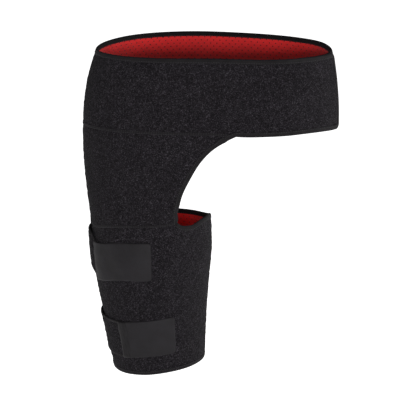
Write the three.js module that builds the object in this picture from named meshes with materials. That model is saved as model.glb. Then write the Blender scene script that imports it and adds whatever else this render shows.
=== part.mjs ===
// A hip and thigh strap as it is worn: a waist belt, a panel down the outside of the right hip
// and a wrap round the right thigh, closed by two straps with hook tabs.
//
// Millimetres and degrees. The origin is the middle of the waist belt's ring, +X points to the
// wearer's left, +Y to the wearer's back and +Z up. Angles run round each form from +X to +Y.
// An angle past 360 is on the outer ply of a lap, one turn further round the same form.

import * as THREE from 'three';

const { degToRad, smoothstep } = THREE.MathUtils;

// Walls
const LINING_WALL = 0.9;
const SHELL_WALL = 2.3;
const TAPE_WALL = 0.5;
const STRAP_WALL = 2.5;
const TAB_WALL = 1.4;
const CLEARANCE = 0.3;

// Edges
const BINDING_WIDTH = 6;
const SEAM_TAPE_WIDTH = 6;
const CORNER_CUT = 7;

// Waist
const BELT_HEIGHT = 107;
const WAIST_WIDTH = 356;
const WAIST_DEPTH = 211;
const BELT_START = -50;
const BELT_END = 346;
const BELT_LAP_RISE = 17;
const LAP_LEAD = 2;

// Thigh
const HIP_HEIGHT = 136.5;
const WRAP_HEIGHT = 219;
const THIGH_WIDTH = 165;
const THIGH_OFFSET = 86.4;
const WRAP_START = 142;
const WRAP_END = 527;
const WRAP_LAP_RISE = 18;
const NOTCH_START = 297.2;
const NOTCH_END = 337;

// Straps and tabs
const UPPER_STRAP_WIDTH = 56;
const LOWER_STRAP_WIDTH = 57;
const UPPER_STRAP_LEAVES = 196;
const UPPER_TAB_JOINT = 209;
const UPPER_TAB_REACH = 271;
const LOWER_STRAP_LEAVES = 169;
const LOWER_TAB_JOINT = 233;
const LOWER_TAB_REACH = 293;
const TAB_LAP = 5;
const TAB_SLOPE = 9;
const TAB_CORNER = 5;
const WAIST_TAB_LENGTH = 44;

// Spacing of the flat facets
const FACET = 10;
const FINE_FACET = 5;
const EDGE_SHARE = 0.03;

// What follows from the sizes above
const WALL = LINING_WALL + CLEARANCE + SHELL_WALL;
const COVER = CLEARANCE + TAPE_WALL;
const LAP = WALL + 2 * COVER + CLEARANCE;
const TURN = 360;
const BELT_FOOT = -BELT_HEIGHT / 2;
const THIGH_RADIUS = THIGH_WIDTH / 2;
const LINING = [0, LINING_WALL];
const SHELL = [LINING_WALL + CLEARANCE, WALL];
const SQUARENESS = 0.02;

// Sections of the waist, from the belt's top to its foot, as shares of its width and depth
const WAIST_SECTIONS = [
  { down: 0.0, left: 0.446, right: 0.459, front: 0.398, back: 0.492 },
  { down: 0.35, left: 0.478, right: 0.475, front: 0.428, back: 0.514 },
  { down: 0.69, left: 0.495, right: 0.484, front: 0.449, back: 0.53 },
  { down: 1.0, left: 0.503, right: 0.486, front: 0.461, back: 0.54 },
];

// Sections of the hip and thigh: shares of the hip's and the wrap's height, how far the section
// has turned from the waist's into the thigh's, and the thigh's girth, centre and outer swell
const LEG_SECTIONS = [
  { hip: 0.0, wrap: 0.0, turned: 0.0, girth: 1.0, axis: 1.0, swell: 0.0 },
  { hip: 0.35, wrap: 0.0, turned: 0.35, girth: 1.0, axis: 1.0, swell: 0.033 },
  { hip: 0.67, wrap: 0.0, turned: 0.78, girth: 1.0, axis: 1.0, swell: 0.044 },
  { hip: 0.88, wrap: 0.0, turned: 1.0, girth: 0.998, axis: 1.004, swell: 0.03 },
  { hip: 1.0, wrap: 0.0, turned: 1.0, girth: 0.996, axis: 1.002, swell: 0.014 },
  { hip: 1.0, wrap: 0.2, turned: 1.0, girth: 1.0, axis: 0.994, swell: 0.0 },
  { hip: 1.0, wrap: 0.4, turned: 1.0, girth: 0.95, axis: 0.988, swell: 0.0 },
  { hip: 1.0, wrap: 0.6, turned: 1.0, girth: 0.883, axis: 0.961, swell: 0.0 },
  { hip: 1.0, wrap: 0.8, turned: 1.0, girth: 0.818, axis: 0.921, swell: 0.0 },
  { hip: 1.0, wrap: 1.0, turned: 1.0, girth: 0.775, axis: 0.899, swell: 0.0 },
].map((row) => ({ ...row, down: row.hip * HIP_HEIGHT + row.wrap * WRAP_HEIGHT }));

// The belt's edges round the waist, as shares of its height above and below the origin
const BELT_EDGES = [
  { angle: 0, rise: 0.497, drop: 0.49 },
  { angle: 20, rise: 0.52, drop: 0.475 },
  { angle: 45, rise: 0.525, drop: 0.462 },
  { angle: 70, rise: 0.536, drop: 0.455 },
  { angle: 100, rise: 0.557, drop: 0.45 },
  { angle: 130, rise: 0.554, drop: 0.45 },
  { angle: 155, rise: 0.531, drop: 0.452 },
  { angle: 180, rise: 0.512, drop: 0.455 },
  { angle: 213, rise: 0.513, drop: 0.43 },
  { angle: 233, rise: 0.517, drop: 0.416 },
  { angle: 250, rise: 0.5255, drop: 0.407 },
  { angle: 270, rise: 0.531, drop: 0.406 },
  { angle: 283, rise: 0.519, drop: 0.443 },
  { angle: 293, rise: 0.506, drop: 0.452 },
  { angle: 315, rise: 0.496, drop: 0.446 },
];

// The hip panel's free edges, from its foot up
const HIP_EDGES = [
  { up: 0.0, front: NOTCH_START, back: WRAP_START },
  { up: 0.045, front: 295.6, back: 139 },
  { up: 0.13, front: 289.2, back: 135 },
  { up: 0.25, front: 282.2, back: 131 },
  { up: 0.393, front: 275.4, back: 128.5 },
  { up: 0.551, front: 271.3, back: 127 },
  { up: 0.715, front: 270.5, back: 125.5 },
  { up: 0.87, front: 273.1, back: 123.5 },
  { up: 0.95, front: 276.6, back: 120.5 },
  { up: 1.0, front: 280.4, back: 115.5 },
];

// The wrap's top edge along its length, as shares of the hip's height below the belt's foot
const WRAP_TOP = [
  { angle: 142, down: 1.042 },
  { angle: 180, down: 1.035 },
  { angle: 205, down: 1.017 },
  { angle: 229, down: 0.958 },
  { angle: 255, down: 0.92 },
  { angle: 277, down: 0.911 },
  { angle: 290, down: 0.902 },
  { angle: 297.2, down: 0.897 },
  { angle: 301.6, down: 0.935 },
  { angle: 307.9, down: 0.953 },
  { angle: 315.2, down: 0.96 },
  { angle: 321, down: 0.95 },
  { angle: 330, down: 0.935 },
  { angle: 337, down: 0.934 },
  { angle: 348, down: 0.942 },
  { angle: 360, down: 0.97 },
  { angle: 385, down: 1.036 },
  { angle: 405, down: 1.062 },
  { angle: 450, down: 1.095 },
  { angle: 490, down: 1.1 },
  { angle: 505, down: 1.09 },
  { angle: 527, down: 0.98 },
];

// The wrap's hem, as shares of the wrap's height below the hip
const HEM = [
  { angle: 0, down: 0.966 },
  { angle: 90, down: 0.985 },
  { angle: 150, down: 1.01 },
  { angle: 205, down: 1.018 },
  { angle: 250, down: 0.995 },
  { angle: 287, down: 0.97 },
  { angle: 325, down: 0.961 },
];

// Rows of the grids, from the foot up
const WRAP_ROWS = [0, 0.03, 0.2, 0.4, 0.6, 0.8, 0.97, 1];
const BELT_ROWS = [0, 0.06, 0.5, 0.94, 1];

// A smooth curve through one column of a table, by another
function smooth(table, by, column, at) {
  const last = table.length - 1;
  const slope = (k) => (table[k + 1][column] - table[k][column]) / (table[k + 1][by] - table[k][by]);
  if (at <= table[0][by]) return table[0][column] + (at - table[0][by]) * slope(0);
  if (at >= table[last][by]) return table[last][column] + (at - table[last][by]) * slope(last - 1);
  const bend = (k) => (slope(Math.max(k - 1, 0)) + slope(Math.min(k, last - 1))) / 2;
  let row = 0;
  while (table[row + 1][by] <= at) row += 1;
  const span = table[row + 1][by] - table[row][by];
  const t = (at - table[row][by]) / span;
  const start = (1 + 2 * t) * table[row][column] + t * span * bend(row);
  const end = (3 - 2 * t) * table[row + 1][column] + (t - 1) * span * bend(row + 1);
  return (1 - t) ** 2 * start + t ** 2 * end;
}

// The same for a table that runs once round
function smoothRound(table, column, angle) {
  const shifted = (turn) => table.map((row) => ({ ...row, angle: row.angle + turn }));
  const turned = [-TURN, 0, TURN].flatMap(shifted);
  return smooth(turned, 'angle', column, ((angle % TURN) + TURN) % TURN);
}

// A point of the body side of the waist's form
function waistPoint(angle, height) {
  const turn = degToRad(angle);
  const down = (BELT_HEIGHT / 2 - height) / BELT_HEIGHT;
  const side = Math.cos(turn) > 0 ? 'right' : 'left';
  const face = Math.sin(turn) > 0 ? 'back' : 'front';
  const square = 1 + SQUARENESS * Math.sin(2 * turn) ** 2;
  const x = WAIST_WIDTH * smooth(WAIST_SECTIONS, 'down', side, down) * Math.cos(turn) * square;
  const y = WAIST_DEPTH * smooth(WAIST_SECTIONS, 'down', face, down) * Math.sin(turn) * square;
  return new THREE.Vector3(x, y, height);
}

// A point of the body side of the hip's and thigh's form
function legPoint(angle, height) {
  const turn = degToRad(angle);
  const foot = WAIST_SECTIONS[WAIST_SECTIONS.length - 1];
  const down = BELT_FOOT - height;
  const turned = smooth(LEG_SECTIONS, 'down', 'turned', down);
  const radius = THIGH_RADIUS * smooth(LEG_SECTIONS, 'down', 'girth', down);
  const centre = -THIGH_OFFSET * smooth(LEG_SECTIONS, 'down', 'axis', down) * turned;
  const swell = Math.cos(turn) < 0 ? THIGH_RADIUS * smooth(LEG_SECTIONS, 'down', 'swell', down) : 0;
  const waistX = WAIST_WIDTH * (Math.cos(turn) > 0 ? foot.right : foot.left);
  const waistY = WAIST_DEPTH * (Math.sin(turn) > 0 ? foot.back : foot.front);
  const square = 1 + SQUARENESS * Math.sin(2 * turn) ** 2 * (1 - turned);
  const x = centre + (waistX + (radius - waistX) * turned + swell) * Math.cos(turn) * square;
  const y = (waistY + (radius - waistY) * turned) * Math.sin(turn) * square;
  return new THREE.Vector3(x, y, height);
}

function formPoint(angle, height) {
  return height > BELT_FOOT ? waistPoint(angle, height) : legPoint(angle, height);
}

// The form at a place: its point, its directions per degree and per millimetre, and its normal
function formAt(angle, height) {
  const across = formPoint(angle + 0.5, height).sub(formPoint(angle - 0.5, height));
  const upward = formPoint(angle, height + 0.5).sub(formPoint(angle, height - 0.5));
  const normal = across.clone().cross(upward).normalize();
  return { point: formPoint(angle, height), across, upward, normal };
}

// A point that stands off the form
function raised(angle, height, off) {
  const form = formAt(angle, height);
  return form.point.addScaledVector(form.normal, off);
}

// Degrees of the form that a length along it takes
function degrees(length, angle, height) {
  return length / formAt(angle, height).across.length();
}

// The place that lies a distance away over the form, in the direction of a vector
function slid(angle, height, direction, distance) {
  const { across, upward } = formAt(angle, height);
  const aa = across.dot(across);
  const au = across.dot(upward);
  const uu = upward.dot(upward);
  const a = direction.dot(across);
  const u = direction.dot(upward);
  const area = aa * uu - au * au;
  return [
    angle + ((a * uu - u * au) / area) * distance,
    height + ((u * aa - a * au) / area) * distance,
  ];
}

// How far a ply is lifted where it climbs on to the ply below a lap
function climb(angle, foot, run) {
  return LAP * smoothstep(angle, foot - run, foot);
}

const beltLift = (angle) => climb(angle, BELT_START + TURN - LAP_LEAD, BELT_LAP_RISE);
const wrapLift = (angle) => climb(angle, WRAP_START + TURN - LAP_LEAD, WRAP_LAP_RISE);
const noLift = () => 0;

// Evenly spread angles, both ends included
function spread(from, to, step) {
  const count = Math.max(1, Math.round(Math.abs(to - from) / step));
  return Array.from({ length: count + 1 }, (_, k) => from + ((to - from) * k) / count);
}

const joined = (...lists) => lists.flatMap((list, k) => (k === 0 ? list : list.slice(1)));

// A closed geometry from its vertices and triangles, turned so that its faces point out
function closed(vertices, triangles) {
  const corner = (k) => vertices[k];
  const sixth = ([a, b, c]) => corner(a).dot(corner(b).clone().cross(corner(c)));
  const volume = triangles.reduce((sum, triangle) => sum + sixth(triangle), 0);
  const outward = volume > 0 ? triangles : triangles.map(([a, b, c]) => [a, c, b]);
  const geometry = new THREE.BufferGeometry();
  const positions = vertices.flatMap((vertex) => vertex.toArray());
  geometry.setAttribute('position', new THREE.Float32BufferAttribute(positions, 3));
  geometry.setIndex(outward.flat());
  geometry.computeVertexNormals();
  return geometry;
}

// A wall that follows the form between two faces; place gives the angle and height of a corner
function wall(columns, rows, place, ply, lift = noLift) {
  const vertices = [];
  for (let i = 0; i < columns; i += 1) {
    for (let j = 0; j < rows; j += 1) {
      const [angle, height] = place(i, j);
      ply.forEach((off) => vertices.push(raised(angle, height, off + lift(angle))));
    }
  }
  const at = (i, j, face) => (i * rows + j) * 2 + face;
  const triangles = [];
  const quad = (a, b, c, d) => triangles.push([a, b, c], [a, c, d]);
  for (let i = 0; i + 1 < columns; i += 1) {
    for (let j = 0; j + 1 < rows; j += 1) {
      quad(at(i, j, 1), at(i + 1, j, 1), at(i + 1, j + 1, 1), at(i, j + 1, 1));
      quad(at(i, j, 0), at(i, j + 1, 0), at(i + 1, j + 1, 0), at(i + 1, j, 0));
    }
    quad(at(i, 0, 0), at(i + 1, 0, 0), at(i + 1, 0, 1), at(i, 0, 1));
    quad(at(i, rows - 1, 0), at(i, rows - 1, 1), at(i + 1, rows - 1, 1), at(i + 1, rows - 1, 0));
  }
  for (let j = 0; j + 1 < rows; j += 1) {
    quad(at(0, j, 0), at(0, j, 1), at(0, j + 1, 1), at(0, j + 1, 0));
    const end = columns - 1;
    quad(at(end, j, 0), at(end, j + 1, 0), at(end, j + 1, 1), at(end, j, 1));
  }
  return closed(vertices, triangles);
}

// Heights of the edges at an angle
const beltTop = (angle) => BELT_HEIGHT * smoothRound(BELT_EDGES, 'rise', angle);
const beltFoot = (angle) => -BELT_HEIGHT * smoothRound(BELT_EDGES, 'drop', angle);
const wrapTop = (angle) => BELT_FOOT - HIP_HEIGHT * smooth(WRAP_TOP, 'angle', 'down', angle);
const hem = (angle) => BELT_FOOT - HIP_HEIGHT - WRAP_HEIGHT * smoothRound(HEM, 'down', angle);

// Columns: the hip panel's are shared with the belt above it and the wrap below it
const hipFoot = HIP_EDGES[0];
const hipHead = HIP_EDGES[HIP_EDGES.length - 1];
const hipAngle = (share, row) => row.back + share * (row.front - row.back);

// A list of columns with one more just inside each end
function withEdges(list, margin) {
  const last = list[list.length - 1];
  return [list[0], list[0] + margin, ...list.slice(1, -1), last - margin, last];
}
const hipColumns = withEdges(spread(0, 1, FACET / (hipHead.front - hipHead.back)), EDGE_SHARE);
const hipHeadColumns = hipColumns.map((share) => hipAngle(share, hipHead));
const hipFootColumns = hipColumns.map((share) => hipAngle(share, hipFoot));
const beltLap = withEdges(
  spread(BELT_START, BELT_END - TURN, FACET),
  degrees(BINDING_WIDTH, BELT_END, 0),
);
const beltColumns = joined(
  beltLap,
  spread(BELT_END - TURN, hipHead.back, FACET),
  hipHeadColumns,
  spread(hipHead.front, BELT_START + TURN, FACET),
  beltLap.map((angle) => angle + TURN),
);
const wrapLap = withEdges(
  spread(WRAP_START + TURN, WRAP_END, FACET),
  degrees(BINDING_WIDTH, WRAP_END, hem(WRAP_END)),
);
const wrapColumns = joined(
  hipFootColumns,
  spread(hipFoot.front, NOTCH_END, FINE_FACET),
  spread(NOTCH_END, WRAP_START + TURN, FACET),
  wrapLap,
);

// How far a corner's cut moves a column of the first or last row, along the columns
function cornerCut(i, columns, j, rows) {
  if (j > 0 && j < rows.length - 1) return 0;
  const last = columns.length - 1;
  return { 0: 1, 1: 0.25, [last - 1]: -0.25, [last]: -1 }[i] ?? 0;
}

// The belt's grid, with its corners cut
function beltPlace(i, j) {
  const low = beltFoot(beltColumns[i]);
  const high = beltTop(beltColumns[i]);
  const height = low + (high - low) * BELT_ROWS[j];
  const cut = cornerCut(i, beltColumns, j, BELT_ROWS) * degrees(CORNER_CUT, beltColumns[i], height);
  return [beltColumns[i] + cut, height];
}

// The hip panel's grid, a clearance below the belt
function hipPlace(i, j) {
  const row = HIP_EDGES[j];
  const angle = hipAngle(hipColumns[i], row);
  const low = wrapTop(angle);
  const high = beltFoot(angle) - CLEARANCE;
  return [angle, low + (high - low) * row.up];
}

// The wrap's grid, a clearance below the hip panel
function wrapPlace(i, j) {
  const column = wrapColumns[i];
  const low = hem(column);
  const high = wrapTop(column) - CLEARANCE;
  const height = low + (high - low) * WRAP_ROWS[j];
  const cut = i > 1 ? cornerCut(i, wrapColumns, j, WRAP_ROWS) * degrees(CORNER_CUT, column, height) : 0;
  return [column + cut, height];
}

// The free edge of belt, hip panel and wrap as one closed line, with the wall on its right:
// each point keeps its place, its ply's lift and the name of the tape that covers it
const beltEnd = beltColumns.length - 1;
const wrapEnd = wrapColumns.length - 1;
const beltTopRow = BELT_ROWS.length - 1;
const wrapTopRow = WRAP_ROWS.length - 1;
const hipEnd = hipColumns.length - 1;
const hipTopRow = HIP_EDGES.length - 1;
const frontColumn = beltColumns.indexOf(hipHead.front);
const backColumn = beltColumns.indexOf(hipHead.back);
function steps(from, to) {
  return Array.from({ length: Math.abs(to - from) + 1 }, (_, k) => from + k * Math.sign(to - from));
}
const edge = (tape, place, lift, pairs) => pairs.map(([i, j]) => ({ tape, lift, place: place(i, j) }));
const rim = [
  ...edge('waist_top_binding', beltPlace, beltLift, steps(1, beltTopRow - 1).map((j) => [0, j])),
  ...edge('waist_top_binding', beltPlace, beltLift, steps(0, beltEnd).map((i) => [i, beltTopRow])),
  ...edge('waist_top_binding', beltPlace, beltLift, steps(beltTopRow - 1, 1).map((j) => [beltEnd, j])),
  ...edge('front_edge_binding', beltPlace, beltLift, steps(beltEnd, frontColumn).map((i) => [i, 0])),
  ...edge('front_edge_binding', hipPlace, noLift, steps(hipTopRow - 1, 0).map((j) => [hipEnd, j])),
  ...edge('thigh_top_binding', wrapPlace, wrapLift, steps(hipEnd + 1, wrapEnd).map((i) => [i, wrapTopRow])),
  ...edge('thigh_top_binding', wrapPlace, wrapLift, steps(wrapTopRow - 1, 1).map((j) => [wrapEnd, j])),
  ...edge('hem_binding', wrapPlace, wrapLift, steps(wrapEnd, 0).map((i) => [i, 0])),
  ...edge('back_edge_binding', wrapPlace, wrapLift, steps(1, wrapTopRow - 1).map((j) => [0, j])),
  ...edge('back_edge_binding', hipPlace, noLift, steps(0, hipTopRow - 1).map((j) => [0, j])),
  ...edge('back_edge_binding', beltPlace, beltLift, steps(backColumn, 0).map((i) => [i, 0])),
];

// The folded tape's section: distance off the wall's edge and height above the body side
const INSIDE = -COVER;
const OUTSIDE = WALL + COVER;
const TAPE_SECTION = [
  [-BINDING_WIDTH, OUTSIDE],
  [COVER, OUTSIDE],
  [COVER, INSIDE],
  [-BINDING_WIDTH, INSIDE],
  [-BINDING_WIDTH, INSIDE + TAPE_WALL],
  [CLEARANCE, INSIDE + TAPE_WALL],
  [CLEARANCE, OUTSIDE - TAPE_WALL],
  [-BINDING_WIDTH, OUTSIDE - TAPE_WALL],
];
const TAPE_CAP = [[0, 1, 6, 7], [1, 2, 5, 6], [2, 3, 4, 5]];

// The tape over the rim's points of one name, mitred at each point, that stops a clearance
// short of the next tape
function binding(name) {
  const count = rim.length;
  const at = (k) => rim[(k + count) % count];
  const points = rim.map(({ place: [angle, height], lift }) => raised(angle, height, lift(angle)));
  const heading = (k) => points[(k + 1) % count].clone().sub(points[k % count]).normalize();
  const first = rim.findIndex((spot, k) => spot.tape === name && at(k - 1).tape !== name);
  let last = first;
  while (at(last).tape === name) last += 1;
  const vertices = [];
  for (let k = first; k <= last; k += 1) {
    const before = heading(k + count - 1);
    const after = heading(k + count);
    const along = before.clone().add(after).normalize();
    const { place, lift } = k === last ? at(k - 1) : at(k);
    const [angle, height] = k === last ? slid(...at(k).place, before, -CLEARANCE) : place;
    const away = formAt(angle, height).normal.cross(along).normalize();
    const mitre = 1 / Math.max(0.6, along.dot(after));
    TAPE_SECTION.forEach(([off, rise]) => {
      const [slidAngle, slidHeight] = slid(angle, height, away, off * mitre);
      vertices.push(raised(slidAngle, slidHeight, rise + lift(slidAngle)));
    });
  }
  const rows = TAPE_SECTION.length;
  const triangles = [];
  const quad = (a, b, c, d) => triangles.push([a, b, c], [a, c, d]);
  for (let i = 0; i < last - first; i += 1) {
    for (let j = 0; j < rows; j += 1) {
      const next = (j + 1) % rows;
      quad(i * rows + j, (i + 1) * rows + j, (i + 1) * rows + next, i * rows + next);
    }
  }
  const end = (last - first) * rows;
  TAPE_CAP.forEach(([a, b, c, d]) => {
    quad(a, b, c, d);
    quad(end + a, end + d, end + c, end + b);
  });
  return closed(vertices, triangles);
}

// A tape that lies flat over a seam
function seamTape(angles, seam) {
  const place = (i, j) => [angles[i], seam(angles[i]) + ((j - 1) * SEAM_TAPE_WIDTH) / 2];
  return wall(angles.length, 3, place, [WALL + CLEARANCE, WALL + COVER]);
}

// The two straps: where each leaves the wrap's end, where its tab is joined on, how far round
// the tab reaches, and its top edge as shares of the wrap's height below the hip
const STRAPS = {
  upper: {
    leaves: UPPER_STRAP_LEAVES,
    joint: UPPER_TAB_JOINT,
    reach: UPPER_TAB_REACH,
    width: UPPER_STRAP_WIDTH,
    top: [
      { angle: 167, down: 0.066 },
      { angle: 198, down: 0.066 },
      { angle: 205, down: 0.1 },
      { angle: 210, down: 0.105 },
      { angle: 242, down: 0.066 },
      { angle: 271, down: 0.053 },
    ],
  },
  lower: {
    leaves: LOWER_STRAP_LEAVES,
    joint: LOWER_TAB_JOINT,
    reach: LOWER_TAB_REACH,
    width: LOWER_STRAP_WIDTH,
    top: [
      { angle: 185, down: 0.633 },
      { angle: 208, down: 0.632 },
      { angle: 233, down: 0.62 },
      { angle: 262, down: 0.596 },
      { angle: 293, down: 0.571 },
    ],
  },
};
const STRAP_ROWS = [0, 0.1, 0.5, 0.9, 1];
const strapPly = [WALL + CLEARANCE, WALL + CLEARANCE + STRAP_WALL];
const tabPly = [WALL + CLEARANCE, WALL + CLEARANCE + TAB_WALL];

// The height at an angle and a share of the way up a strap
function strapAt(strap, angle, up) {
  const down = smooth(strap.top, 'angle', 'down', angle);
  return BELT_FOOT - HIP_HEIGHT - WRAP_HEIGHT * down - strap.width * (1 - up);
}

// The wrap's own columns between two angles, so that a strap's facets match those below it
const wrapColumnsIn = (from, to) => wrapColumns.filter((angle) => angle > from + 1 && angle < to - 1);

// A strap leaves the wrap's outer ply and comes down on to the ply below; its first column keeps
// clear of the tape on the wrap's end
function strapWall(strap) {
  const end = WRAP_END - TURN;
  const from = end + degrees(COVER + CLEARANCE, end, strapAt(strap, end, 0.5));
  const columns = joined(
    [from, ...wrapColumnsIn(from, strap.leaves), strap.leaves],
    [strap.leaves, ...wrapColumnsIn(strap.leaves, strap.joint), strap.joint],
  );
  const drop = LAP - WALL - CLEARANCE;
  const lap = degrees(TAB_LAP + CLEARANCE, strap.joint, strapAt(strap, strap.joint, 0.5));
  const landing = strap.joint - lap;
  const lift = (angle) => drop * (1 - smoothstep(angle, strap.leaves, landing));
  const place = (i, j) => [columns[i], strapAt(strap, columns[i], STRAP_ROWS[j])];
  return wall(columns.length, STRAP_ROWS.length, place, strapPly, lift);
}

// A tab lies over its strap's end and then comes down on to the wrap, and its corners are cut
function tabWall(strap) {
  const turn = (length) => degrees(length, strap.joint, strapAt(strap, strap.joint, 0.5));
  const edge = strap.joint + turn(2 * CLEARANCE);
  const landing = edge + turn(TAB_SLOPE);
  const columns = joined(
    [strap.joint - turn(TAB_LAP), edge],
    spread(edge, landing, FINE_FACET / 2),
    [landing, ...wrapColumnsIn(landing, strap.reach), strap.reach],
  );
  const rise = STRAP_WALL + CLEARANCE;
  const lift = (angle) => rise * (1 - smoothstep(angle, edge, landing));
  const place = (i, j) => {
    const atCorner = i === columns.length - 1 && (j === 0 || j === STRAP_ROWS.length - 1);
    return [columns[i] - (atCorner ? turn(TAB_CORNER) : 0), strapAt(strap, columns[i], STRAP_ROWS[j])];
  };
  return wall(columns.length, STRAP_ROWS.length, place, tabPly, lift);
}

// The hook patch that closes the belt, between its two plies, on columns and rows that they share
function waistTab() {
  const middle = (BELT_START + BELT_END - TURN) / 2;
  const half = degrees(WAIST_TAB_LENGTH / 2, middle, 0);
  const columns = steps(0, beltLap.length - 1).filter((i) => Math.abs(beltLap[i] - middle) < half);
  const ply = [WALL + CLEARANCE, LAP - CLEARANCE];
  return wall(columns.length, BELT_ROWS.length - 2, (i, j) => beltPlace(columns[i], j + 1), ply);
}

// Finishes
const finish = (color, roughness) => new THREE.MeshStandardMaterial({ color, roughness, metalness: 0 });
const pile = finish(0x201e20, 0.95);
const redKnit = finish(0x9c2226, 0.8);
const tape = finish(0x2c292c, 0.7);
const hookTab = finish(0x322f32, 0.6);

const part = new THREE.Group();
function add(name, geometry, material) {
  const mesh = new THREE.Mesh(geometry, material);
  mesh.name = name;
  part.add(mesh);
}

const seamShares = hipColumns.slice(3, -3);
add('waist_belt', wall(beltColumns.length, BELT_ROWS.length, beltPlace, SHELL, beltLift), pile);
add('waist_lining', wall(beltColumns.length, BELT_ROWS.length, beltPlace, LINING, beltLift), redKnit);
add('waist_hook_tab', waistTab(), hookTab);
add('hip_panel', wall(hipColumns.length, HIP_EDGES.length, hipPlace, SHELL), pile);
add('hip_lining', wall(hipColumns.length, HIP_EDGES.length, hipPlace, LINING), redKnit);
add('thigh_wrap', wall(wrapColumns.length, WRAP_ROWS.length, wrapPlace, SHELL, wrapLift), pile);
add('thigh_lining', wall(wrapColumns.length, WRAP_ROWS.length, wrapPlace, LINING, wrapLift), redKnit);
[...new Set(rim.map((spot) => spot.tape))].forEach((name) => add(name, binding(name), tape));
add('waist_seam_tape', seamTape(seamShares.map((share) => hipAngle(share, hipHead)), beltFoot), tape);
add('thigh_seam_tape', seamTape(seamShares.map((share) => hipAngle(share, hipFoot)), wrapTop), tape);
Object.entries(STRAPS).forEach(([name, strap]) => {
  add(`${name}_strap`, strapWall(strap), pile);
  add(`${name}_hook_tab`, tabWall(strap), hookTab);
});

export default part;
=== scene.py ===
# The look of a hip and thigh strap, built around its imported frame.
#
# The sizes are in millimetres and degrees, and each mesh is made in metres. The origin is the
# middle of the waist belt's ring, +X points to the wearer's left, +Y to the wearer's back and
# +Z up. Angles run round each form from +X to +Y. An angle past 360 is on the outer ply of a lap.

import math

import bpy
import numpy as np
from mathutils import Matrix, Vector


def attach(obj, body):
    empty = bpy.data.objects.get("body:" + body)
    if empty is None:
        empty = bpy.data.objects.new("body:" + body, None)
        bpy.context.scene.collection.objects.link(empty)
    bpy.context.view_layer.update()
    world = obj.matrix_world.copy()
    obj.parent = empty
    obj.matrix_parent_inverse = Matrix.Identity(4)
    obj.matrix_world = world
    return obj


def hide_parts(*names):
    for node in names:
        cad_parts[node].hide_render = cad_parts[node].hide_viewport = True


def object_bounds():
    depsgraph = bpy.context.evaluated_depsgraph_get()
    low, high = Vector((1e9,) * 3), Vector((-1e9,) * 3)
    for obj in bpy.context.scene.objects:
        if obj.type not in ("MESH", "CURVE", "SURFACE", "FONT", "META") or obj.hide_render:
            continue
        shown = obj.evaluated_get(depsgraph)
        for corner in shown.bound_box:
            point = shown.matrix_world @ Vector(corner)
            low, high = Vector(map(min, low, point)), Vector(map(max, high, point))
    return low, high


MM = 0.001
TURN = 360

# Walls
LINING_WALL = 0.9
SHELL_WALL = 2.3
TAPE_WALL = 0.5
STRAP_WALL = 2.5
TAB_WALL = 1.4
CLEARANCE = 0.3
WALL = LINING_WALL + CLEARANCE + SHELL_WALL
COVER = CLEARANCE + TAPE_WALL
LAP = WALL + 2 * COVER + CLEARANCE

# Waist
BELT_HEIGHT = 107
BELT_FOOT = -BELT_HEIGHT / 2
BELT_LENGTH = 955
WAIST_WIDTH = 356
WAIST_DEPTH = 211
BELT_START = -50
BELT_END = 346
BELT_LAP_RISE = 17
LAP_LEAD = 2

# Thigh
HIP_HEIGHT = 136.5
HIP_LENGTH = 290
WRAP_HEIGHT = 219
WRAP_LENGTH = 512
THIGH_RADIUS = 82.5
THIGH_OFFSET = 86.4
WRAP_START = 142
WRAP_END = 527
WRAP_LAP_RISE = 18
SQUARENESS = 0.02

# Edges
BINDING_WIDTH = 6
SEAM_TAPE_WIDTH = 4
SEAM_TAPE_WALL = 0.6
SEAM_TAPE_RISE = 0.45
CORNER_RADIUS = 7
PINCH = 0.7
PINCH_REACH = 7

# Stitches
STITCH_LENGTH = 2.5
STITCH_STEP = 3.4
STITCH_RADIUS = 0.26
STITCH_INSET = 1.3
SEAM_STITCH_INSET = 0.9
STRAP_STITCH_INSET = 1.1
STITCH_LIFT = 0.15

# Straps and tabs
TAB_LAP = 5
UPPER_TAB_SLOPE = 30
LOWER_TAB_SLOPE = 14
TAB_CORNER = 5
CREASED_LENGTH = 15
STRAP_TAPE_WIDTH = 3.4

# Studio: the floor's width in metres, its drop below the brace and its own glow, the light
# from above and from below, and the camera
FLOOR_WIDTH = 120
FLOOR_DROP = 260
FLOOR_GLOW = 1.1
SKY = 0.12
GROUND = 0.06
CAMERA_PLACE = (-17, -2150, 472)
CAMERA_PITCH = 16.5
CAMERA_LENS = 141
CAMERA_SENSOR = 36
CAMERA_REACH = 200

# The lamps, with their places and sizes in metres
LAMPS = {
    "key": {
        "place": (0.25, -2.4, 0.25),
        "target": (0, 0, 0.06),
        "size": (1.3, 0.4),
        "watts": 45,
    },
    "right_rim": {
        "place": (2.2, 0.4, 0.4),
        "target": (0.2, 0, 0),
        "size": (0.8, 0.8),
        "watts": 20,
    },
    "left_rim": {
        "place": (-2.2, 0.6, 0.2),
        "target": (-0.1, 0, -0.2),
        "size": (0.9, 0.9),
        "watts": 4,
    },
}

# Spacing of the meshes' points
PILE_STEP = 2.0
KNIT_STEP = 3.0
TAPE_STEP = 2.0
TAB_STEP = 1.3
FOAM_MARGIN = 1.4
PILE_LUMPS = 0.24
STRAP_EDGE_SHARE = 0.012
SEAM_EDGE_SHARE = 0.02

# Points along the lines that the bindings and seam tapes follow
END_POINTS = 60
FREE_FOOT_POINTS = 160
SEAM_POINTS = 200
NOTCH_POINTS = 260
HEM_POINTS = 400
WAIST_POINTS = 500

# Spacing of the lining's breathing holes
HOLE_STEP = 6.7

# Sections of the waist, from the belt's top to its foot, as shares of its width and depth
WAIST_SECTIONS = {
    "down": (0.0, 0.35, 0.69, 1.0),
    "left": (0.446, 0.478, 0.495, 0.503),
    "right": (0.459, 0.475, 0.484, 0.486),
    "front": (0.398, 0.428, 0.449, 0.461),
    "back": (0.492, 0.514, 0.53, 0.54),
}

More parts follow.
